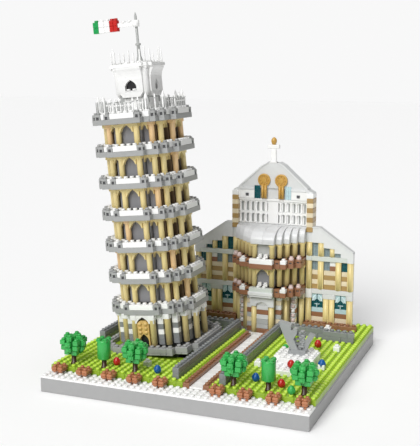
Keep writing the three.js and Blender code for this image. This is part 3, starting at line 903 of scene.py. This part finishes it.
def mast_and_flag():
    kit = Kit(TOWER @ Matrix.Translation((*MAST_AT, 0)))
    profile = [(0.62, 43.75), (0.55, 44.1), (0.3, 44.9), (0.24, 46.4), (0.42, 46.5), (0.42, 46.75),
               (0.2, 46.85), (0.2, 50.8), (0.12, 51.2), (0.03, 51.45)]
    kit.lathe(0, 0, profile, "light_grey", sides=16)
    kit.make("mast", "mast_pole")

    flag = Kit(TOWER @ Matrix.Translation((*MAST_AT, 0)))
    low, high = 48.9, 50.6
    middle = (low + high) / 2
    flag.ring(0, 0, 0.29, 0.5, middle - 0.5, middle + 0.5, "white")
    flag.box(-3.05, -0.46, -0.22, 0.22, middle - 0.3, middle + 0.3)
    for n in range(2):
        flag.stud(-1.1 - n * 1.0, 0, middle + 0.28)
    for start, end, colour in ((-4.35, -3.05, "red"), (-6.25, -4.35, "white"), (-7.2, -6.25, "flag_green")):
        split = 2 if end - start > 1 else 1
        for k in range(split):
            x0 = start + (end - start) * k / split
            x1 = start + (end - start) * (k + 1) / split
            flag.box(x0 + 0.01, x1 - 0.01, -0.45, 0.45, low, middle - 0.01, colour)
            flag.box(x0 + 0.01, x1 - 0.01, -0.45, 0.45, middle + 0.01, high, colour)
            flag.stud((x0 + x1) / 2, 0, high, colour)
    flag.make("flag", body="flag_body")


tower_foot()
tower_ground_floor()
tower_door()
for n in range(STOREYS + 1):
    gallery(n)
for n in range(STOREYS):
    arcade(n)
balustrade()
belfry()
mast_and_flag()


# ---- cathedral ----
# x runs from the middle of the front, y = 0 is the face of the pilasters, z in studs.
STRIPES_LOW = ("brown", "brown", "cream", "brown", "pale_blue")
STRIPES_HIGH = ("clay", "cream", "clay", "cream")
BAND_LOW = 7 * COURSE
BAND_HIGH = 15 * COURSE
PANEL_DEPTH = 0.35
BACK_BRICK = 0.12  # thickness of the bricks that show on the back


class Front(Kit):
    """A kit whose boxes can be mirrored to the left half of the cathedral."""

    side = 1

    def across(self, x0, x1, y0, y1, z0, z1, colour="gable", chamfer=CHAMFER):
        xs = sorted((self.side * x0, self.side * x1))
        self.box(xs[0] + SEAM, xs[1] - SEAM, y0, y1, z0 + SEAM / 2, z1 - SEAM / 2, colour, chamfer)

    def slab(self, outline, y0, y1, colour="gable"):
        self.prism([(self.side * x, z) for x, z in outline], y0, y1, colour)


def stripes(kit, x0, x1, z, colours):
    for n, colour in enumerate(colours):
        kit.across(x0, x1, PANEL_DEPTH, 0.95, z + n * COURSE, z + (n + 1) * COURSE, colour)


def pilaster(kit, x, z0, z1, wide=1.0):
    """A rounded upright brick on a flat back."""
    kit.across(x + 0.02, x + wide - 0.02, 0.12, 0.9, z0, z1, "tan")
    kit.lathe(kit.side * (x + wide / 2), 0.35, [(0.42, z0 + 0.02), (0.42, z1 - 0.02)], "tan", sides=16)


def window(kit, x0, x1, z0, z1, colour, y=0.5):
    """A glazed brick: a slim frame with bars in front of a tinted pane."""
    kit.across(x0 + 0.05, x1 - 0.05, y + 0.08, 0.95, z0, z1, colour)
    middle = (x0 + x1) / 2
    for left in (x0, x1 - 0.12):
        kit.across(left, left + 0.12, y - 0.1, 0.95, z0, z1, colour, chamfer=0.02)
    kit.across(middle - 0.07, middle + 0.07, y - 0.02, y + 0.2, z0, z1, colour, chamfer=0.02)
    for level in (0.33, 0.66):
        z = z0 + (z1 - z0) * level
        kit.across(x0, x1, y - 0.02, y + 0.2, z - 0.06, z + 0.06, colour, chamfer=0.02)


def arched_window(kit, x0, x1, z0):
    """Two courses of dark glass under a pale pointed head with a mullion."""
    middle = (x0 + x1) / 2
    window(kit, x0, x1, z0, z0 + 1.45, "teal", y=0.35)
    kit.across(x0, x1, 0.35, 0.95, z0 + 1.45, z0 + 2.4, "pale_blue")
    half = (x1 - x0) / 2 - 0.12
    for shade, y in (("ice", 0.3), ("pale_blue", 0.22)):
        arch = pointed_arch(half, z0 + 1.5, z0 + 2.3, middle)
        head = [(middle, z0 + 1.6), (middle - half, z0 + 1.05)] + arch + [(middle + half, z0 + 1.05)]
        kit.slab(head[::-1], y, 0.4, shade)
        half -= 0.3
    kit.across(middle - 0.07, middle + 0.07, 0.1, 0.4, z0 + 0.8, z0 + 2.5, "teal", chamfer=0.02)
    kit.across(middle - 0.08, middle + 0.08, 0.05, 0.4, z0 + 0.1, z0 + 0.8, "pale_blue", chamfer=0.02)
    kit.across(middle - 0.45, middle + 0.45, 0.2, 0.4, z0 + 0.55, z0 + 0.7, "pale_blue", chamfer=0.02)


def back_bond(kit, x0, x1, y, bottom, top, colour="gable"):
    """Running bond of four-stud bricks that shows on the back of a wall."""
    for n in range(int((top - bottom) / COURSE)):
        z = bottom + n * COURSE
        start = x0 - (0, 2, 1, 3)[n % 4]
        while start < x1:
            left, right = max(start, x0), min(start + 4, x1)
            if right > left:
                kit.across(left, right, y, y + BACK_BRICK, z, z + COURSE, colour)
            start += 4


def wing(side):
    kit = Front(CATHEDRAL)
    kit.side = 1 if side == "right" else -1
    for x0 in (9, 10, 13):
        pilaster(kit, x0, 0, BAND_LOW)
    for x0, x1 in ((7, 9), (11, 13)):
        stripes(kit, x0, x1, 0, STRIPES_LOW)
        arched_window(kit, x0, x1, 4.0)
    kit.across(7, 14, 0.05, 0.95, 8 * COURSE, 9 * COURSE)
    for x0, x1 in ((9, 11), (13, 14)):
        kit.across(x0, x1, 0.05, 0.95, BAND_LOW, 8 * COURSE)
    for x0 in (7, 8.85, 11, 12.85):
        kit.across(x0, x0 + 0.15, 0.05, 0.95, BAND_LOW, 8 * COURSE)

    base = 9 * COURSE
    for x0 in (8, 11, 13):
        pilaster(kit, x0, base, BAND_HIGH)
    for x0, x1 in ((7, 8), (9, 11), (12, 13)):
        stripes(kit, x0, x1, base, STRIPES_HIGH)
    window(kit, 7, 8, 13 * COURSE, BAND_HIGH, "pane_grey")
    window(kit, 9, 10, 13 * COURSE, BAND_HIGH, "pane_grey")
    kit.across(10, 11, PANEL_DEPTH, 0.95, 13 * COURSE, 14 * COURSE, "brown")
    kit.across(10, 11, PANEL_DEPTH, 0.95, 14 * COURSE, 15 * COURSE, "white")
    window(kit, 12, 13, 13 * COURSE, BAND_HIGH, "teal")
    kit.across(7, 13, -0.02, 0.95, BAND_HIGH, 16 * COURSE, "band")

    # Upper wall: tall windows between pilasters under the smooth sloping gable.
    top = 16 * COURSE
    glass = "pane_grey" if side == "right" else "teal"
    window(kit, 7, 8, top, 15.1, glass)
    pilaster(kit, 8, top, 15.1)
    window(kit, 9, 10, top, 14.3, glass)
    pilaster(kit, 10, top, 14.2, wide=0.8)
    kit.across(10.8, 11.9, 0.4, 0.9, top, 13.5, glass)
    slope = [(7, 15.1), (9, 15.1), (9, 14.3), (10.85, 14.2), (10.85, 13.5), (11.9, 13.5), (11.9, top),
             (13, top), (13, BAND_HIGH), (14, BAND_HIGH), (14, 13.75), (8.3, 17.65), (7, 17.65)]
    kit.slab(slope, -0.05, 0.95)
    coping = [(14, 13.6), (14, 13.85), (8.3, 17.75), (7, 17.75), (7, 17.55), (8.2, 17.55)]
    kit.slab(coping, -0.15, 1.0)
    back_bond(kit, 7, 14, 0.9, 0, 12.8)
    for n, end in enumerate((13.9, 13, 12, 11, 9, 8)):
        kit.across(7, end, 0.9, 1.02, 12.8 + n * COURSE, 12.8 + (n + 1) * COURSE)
    kit.make(f"cathedral_wing_{side}")


def nave():
    """Front wall of the nave with striped quoins, a white gable, round-arched side boxes and backing."""
    kit = Front(CATHEDRAL)
    back = 2.0
    kit.box(-7, 7, 0.9, back, 0.1, 17.6, "light_grey")
    kit.box(-6, 6, 1.4, back, 17.6, 21.6)
    kit.box(-7, 7, 0.1, 0.9, 15.1, 17.6, "gable")
    for kit.side in (1, -1):
        for base, top in ((0, BAND_LOW), (9 * COURSE, BAND_HIGH), (16 * COURSE, 15.1)):
            pilaster(kit, 6, base, top)
        for base, top, colour in ((BAND_LOW, 9 * COURSE, "white"), (BAND_HIGH, 16 * COURSE, "band")):
            kit.across(6, 7, 0.0, 0.95, base, top, colour)
        for level in range(8):
            colour = ("clay", "cream")[level % 2] if level < 7 else "white"
            z = (21 + level) * COURSE
            kit.across(6, 7.1, -0.15, back, z, z + COURSE, colour)
        kit.stud(kit.side * 6.5, 0.4, 29 * COURSE)
        # Small box beside the gable's foot, with a dark grey block as the painted shade of its small opening.
        kit.across(3.2, 6.1, 0.15, back, 27.4 * COURSE, 29.2 * COURSE, "white")
        kit.across(3.2, 5.7, 0.05, back, 29.2 * COURSE, 29.7 * COURSE)
        kit.across(4.2, 4.75, 0.02, 0.3, 27.9 * COURSE, 28.5 * COURSE, "dark_grey", chamfer=0.02)
        window(kit, 2.2, 3.2, 27.4 * COURSE, 30.2 * COURSE, "teal" if kit.side < 0 else "pale_blue", y=0.2)
        kit.slab([(5.9, 23.3), (7.0, 22.9), (7.0, 23.3), (5.6, 24.05), (5.2, 23.8)], 0.1, back)
    kit.side = 1
    kit.box(-6, 6, 0.3, back, 21.55, 21.95)
    kit.box(-3.3, 3.3, 0.6, back - 0.1, 21.95, 24.6, "gable")
    gable = [(-5.9, 23.75), (5.9, 23.75), (5.6, 24.05), (1.9, 27.4), (0.95, 28.0), (-0.95, 28.0),
             (-1.9, 27.4), (-5.6, 24.05)]
    kit.prism(gable, 0.3, back, "gable")
    for kit.side in (1, -1):
        coping = [(5.95, 23.7), (6.05, 23.95), (1.95, 27.62), (1.0, 28.12), (0.9, 27.95), (1.85, 27.4)]
        kit.slab(coping, 0.15, back + 0.05)
    kit.side = 1
    back_bond(kit, -7, 7, back - 0.02, 0, 17.6)
    back_bond(kit, -6, 6, back - 0.02, 17.6, 21.6, "white")
    kit.make("nave_wall")


def colonnade():
    """Two tiers of slender white columns with a plain middle bay, set back between the quoins, before a light
    grey back wall that is painted shade in the gaps.
    """
    kit = Kit(CATHEDRAL)
    # Light grey back wall: painted shade in the gaps between the columns.
    kit.box(-5.9, 5.9, 1.05, 1.4, 17.65, 21.5, "light_grey")
    kit.box(-0.9, 0.9, 0.5, 1.1, 17.7, 21.5)
    tiers = ((17.65, 19.45), (19.55, 21.45))
    for low, high in tiers:
        kit.box(-5.9, 5.9, 0.55, 1.1, low, low + 0.15, chamfer=0.03)
        kit.box(-5.9, 5.9, 0.55, 1.1, high - 0.15, high + 0.1, chamfer=0.03)
        for n in range(6):
            for side in (-1, 1):
                x = side * (1.25 + 0.92 * n)
                shaft = [(0.27, low + 0.1), (0.27, low + 0.3), (0.2, low + 0.35), (0.2, high - 0.4),
                         (0.3, high - 0.2), (0.3, high - 0.1)]
                kit.lathe(x, 0.8, shaft, sides=12)
                behind = x + side * 0.24
                kit.box(behind - 0.16, behind + 0.16, 0.85, 1.1, low, high, chamfer=0.03)
    kit.make("nave_colonnade")


def rose(side, middle):
    """A gold disc with rings and spokes on a fluted stem."""
    kit = Kit(CATHEDRAL)
    z = 25.1
    rings = [(1.08, 0.0), (1.08, 0.3), (0.98, 0.36), (0.86, 0.36), (0.82, 0.26), (0.5, 0.26), (0.46, 0.36),
             (0.22, 0.4), (0.05, 0.4)]
    kit.disc_facing(middle, 0.28, z, rings, "gold")
    for k in range(8):
        angle = k * math.pi / 4
        kit.ball(middle + 0.66 * math.cos(angle), 0.0, z + 0.66 * math.sin(angle), 0.13, "gold")
    for x in (-0.25, 0.25):
        kit.lathe(middle + x, 0.1, [(0.24, 22.05), (0.24, 24.3)], "gold", sides=12)
    kit.make(f"rose_window_{side}", f"rose_window_{side}_disc")


def gable_cross():
    kit = Kit(CATHEDRAL)
    kit.box(-0.42, 0.42, 0.35, 0.95, 28.1, 30.4, chamfer=0.06)
    kit.box(-0.6, 0.6, 0.25, 1.05, 28.0, 28.25, chamfer=0.04)
    kit.box(-1.0, 1.0, 0.3, 1.0, 30.4, 31.05, chamfer=0.08)
    bud = [(0.28, 31.0), (0.4, 31.25), (0.5, 31.6), (0.44, 31.95), (0.2, 32.2), (0.08, 32.28)]
    kit.lathe(0, 0.65, bud, "gold", sides=10)
    kit.make("gable_cross")


# ---- apse ----
APSE_ROWS = (2, 3, 4, 5, 6)
APSE_BAND_ROWS = (2, 4, 5, 6, 6, 6)


def front_half(rows):
    return {(x, y) for x, y in disc(rows) if y < 0}


def stair(rows):
    """Each cell at the outer end of its row, on both sides, as ((x, y), rank from the front)."""
    steps = []
    for k, half in enumerate(rows):
        for x in (half - 1, -half):
            steps.append(((x, k - len(rows)), k))
    return steps


APSE_COURSES = ("brown", "light_grey", "cream", "light_grey", "brown", "gable", "cream", "white")


def apse_ground_floor():
    """Pilasters and striped panels by turns, a light porch head in front and a carved stack on each side."""
    kit = Kit(CATHEDRAL)
    top = 8 * COURSE
    # Dark tan cores behind the pilasters: painted shade in the gaps between them.
    kit.box(-1.95, 1.95, -4.6, 0, 0.1, top, "core_tan")
    kit.box(-4, 4, -2.9, 0, 0.1, top - 0.01, "core_tan")
    for (x, y), rank in stair(APSE_ROWS):
        if rank % 2 == 0:
            head = 4.9 if rank == 0 else top - 0.85
            kit.lathe(x + 0.5, y + 0.5, [(0.46, 0.05), (0.46, head)], "tan", sides=16)
            if rank:
                kit.box(x + 0.02, x + 0.98, y + 0.05, y + 0.98, top - 0.84, top, "cream")
            continue
        for n, colour in enumerate(APSE_COURSES):
            kit.box(x + 0.02, x + 0.98, y + 0.1, y + 0.97, n * COURSE + 0.03, (n + 1) * COURSE, colour)
        if rank == 3:
            for n in range(6):
                z = 1.2 + 0.8 * n
                kit.ball(x + 0.5, y + 0.05, z, 0.34, "pink" if n % 3 else "white", sides=10)
                kit.box(x + 0.12, x + 0.88, y - 0.08, y + 0.12, z + 0.32, z + 0.46, chamfer=0.02)
    courses = ("brown", "light_grey", "light_grey", "gable", "brown", "gable", "gable")
    for n, colour in enumerate(courses):
        kit.box(-1, 1, -4.75, -4.3, n * COURSE + 0.03, (n + 1) * COURSE, colour)
    arch = pointed_arch(1.0, 4.9, 5.5)
    head = [(-2.05, 4.7), (-1.0, 4.7)] + arch + [(1.0, 4.7), (2.05, 4.7), (2.05, top), (-2.05, top)]
    kit.prism(head, -5.15, -4.7, "gable")
    kit.make("apse_ground_floor")


def apse_band(name, z, front_colour):
    """A brown cornice under a parapet: white bricks at the front, notched brown corners with round bricks."""
    kit = Kit(CATHEDRAL)
    cells = front_half(APSE_BAND_ROWS)
    front = {cell for cell in cells if -2 <= cell[0] < 2 and cell[1] == -6}
    kit.course(cells - front, z, "brown", longest=3)
    kit.course(front, z, front_colour)
    kit.course(front, z + COURSE, "band" if front_colour == "gable" else "white")
    for x in (-0.5, 0.5):
        kit.stud(x, -5.5, z + 2 * COURSE)
    if front_colour == "gable":
        kit.box(-2.1, 2.1, -6.15, -5.5, z + 0.35, z + COURSE + 0.1, "gable")
    outer = rim(cells | block_cells(-6, 6, 0, 2)) - front
    white = {(3, -5), (-4, -5)}
    corners = {(2, -5), (-3, -5), (4, -4), (-5, -4), (5, -3), (-6, -3)}
    for x, y in sorted(white):
        kit.brick(x, y, z + COURSE, tall=0.62, studs=True)
    for x, y in sorted(corners):
        notched_brick(kit, x, y, z + COURSE - 0.2, "brown", stud=False)
        if y > -5:
            knob = z + 1.6 * COURSE
            profile = [(0.4, knob), (0.42, knob + 0.45), (0.28, knob + 0.5), (0.28, knob + 0.75)]
            kit.lathe(x + 0.5, y + 0.5, profile, "pink")
    for x, y in sorted(outer - white - corners):
        kit.brick(x, y, z + COURSE, colour="brown", tall=0.55, studs=True)
    kit.make(name)


def apse_gallery(name, level, courses, arched):
    kit = Kit(CATHEDRAL)
    bottom, top = level * COURSE, (level + courses) * COURSE
    kit.box(-1.9, 1.9, -4.2, 0, bottom + 0.02, top, "core" if arched else "light_grey")
    # Dark tan cores behind the columns: painted shade in the gaps between them.
    kit.box(-3.4, 3.4, -2.6, 0, bottom + 0.02, top - 0.01, "core_tan")
    kit.box(-4.6, 4.6, -1.3, 0, bottom + 0.02, top - 0.02, "core_tan")
    for (x, y), rank in stair(APSE_ROWS):
        shaft = [(0.43, bottom + 0.02), (0.43, top - 0.45), (0.46, top - 0.4)]
        kit.lathe(x + 0.5, y + 0.5, shaft, "tan", sides=16)
        kit.box(x + 0.03, x + 0.97, y + 0.05, y + 0.98, top - 0.42, top - 0.01, "tan")
    if arched:
        arch_head(kit, 0, 1, 0.05, top - 1.2, top - 0.2, top, -4.95, -4.3)
    for x in (-0.5, 0.5):
        kit.box(x - 0.35, x + 0.35, -4.9, -4.3, bottom + 0.02, bottom + 0.45)
        kit.stud(x, -4.6, bottom + 0.42)
    kit.make(name)


def half_dome():
    """Curved slope bricks, one bay for each step of the plan, rounding over towards the nave."""
    kit = Kit(CATHEDRAL)
    foot = 19 * COURSE
    for row, to in enumerate(APSE_ROWS):
        start = APSE_ROWS[row - 1] if row else 0
        reach = len(APSE_ROWS) - row + 0.25
        top = 22 * COURSE - 0.05 * row
        springing = foot + 0.4
        curve = []
        for n in range(9):
            turn = n / 8 * math.pi / 2
            y = -reach + 0.72 * reach * (1 - math.cos(turn))
            curve.append((y, springing + (top - springing) * math.sin(turn)))
        outline = [(-reach, foot)] + curve + [(-0.02, top), (-0.02, foot)]
        spans = [(-2, 0), (0, 2)] if row == 0 else [(start, to), (-to, -start)]
        for x0, x1 in spans:
            kit.prism(outline[::-1], x0 + SEAM, x1 - SEAM, "dome", plane="yz")
    kit.make("apse_half_dome")


for side in ("left", "right"):
    wing(side)
nave()
colonnade()
rose("left", -1.5)
rose("right", 1.5)
gable_cross()
apse_ground_floor()
apse_band("apse_band_lower", 8 * COURSE, "gable")
apse_gallery("apse_gallery_lower", 10, 4, arched=True)
apse_band("apse_band_upper", 14 * COURSE, "brown")
apse_gallery("apse_gallery_upper", 16, 3, arched=False)
half_dome()


# ---- camera, light and floor ----
camera_data = bpy.data.cameras.new("camera")
camera_data.sensor_fit = "HORIZONTAL"
camera_data.sensor_width = 36
camera_data.lens = 77.86
camera = in_scene("camera", camera_data)
camera.location = (0.19556, -0.50866, 0.18637)
camera.rotation_euler = (math.radians(80.063), 0, math.radians(21.678))
bpy.context.scene.camera = camera


def sun(name, source, strength, spread):
    """A distant soft lamp that shines from source towards the model."""
    data = bpy.data.lights.new(name, "SUN")
    data.energy = strength
    data.angle = math.radians(spread)
    light = in_scene(name, data)
    light.rotation_euler = Vector(source).to_track_quat("Z", "Y").to_euler()


sun("key", (-0.12, -0.8, 0.6), 2.6, 36)
sun("overhead", (-0.1, 0.1, 1), 1.25, 60)
sun("fill", (0.9, -0.4, 0.35), 0.12, 50)

# The studio is white to the eye, but its light is kept low so that the lamps shape the model.
world = bpy.data.worlds.new("studio")
world.use_nodes = True
studio = world.node_tree
ambient = studio.nodes["Background"]
set_inputs(ambient, {"Color": (1, 1, 1, 1), "Strength": 0.15})
seen = new_node(studio, "ShaderNodeBackground", {"Color": (1, 1, 1, 1), "Strength": 0.94})
path_kind = studio.nodes.new("ShaderNodeLightPath")
choose = studio.nodes.new("ShaderNodeMixShader")
link(studio, path_kind, "Is Camera Ray", choose, 0)
link(studio, ambient, "Background", choose, 1)
link(studio, seen, "Background", choose, 2)
link(studio, choose, "Shader", studio.nodes["World Output"], "Surface")
bpy.context.scene.world = world
bpy.context.scene.view_settings.view_transform = "Standard"

floor_material = bpy.data.materials.new("floor")
floor_material.use_nodes = True
floor_look = {"Base Color": (0.92, 0.92, 0.92, 1), "Roughness": 0.9}
set_inputs(floor_material.node_tree.nodes["Principled BSDF"], floor_look)
bpy.ops.mesh.primitive_plane_add(size=8, location=(0, 0, CAD_BOX[0][2] - 0.0001))
floor = bpy.context.object
floor.name = "floor"
floor.data.materials.append(floor_material)
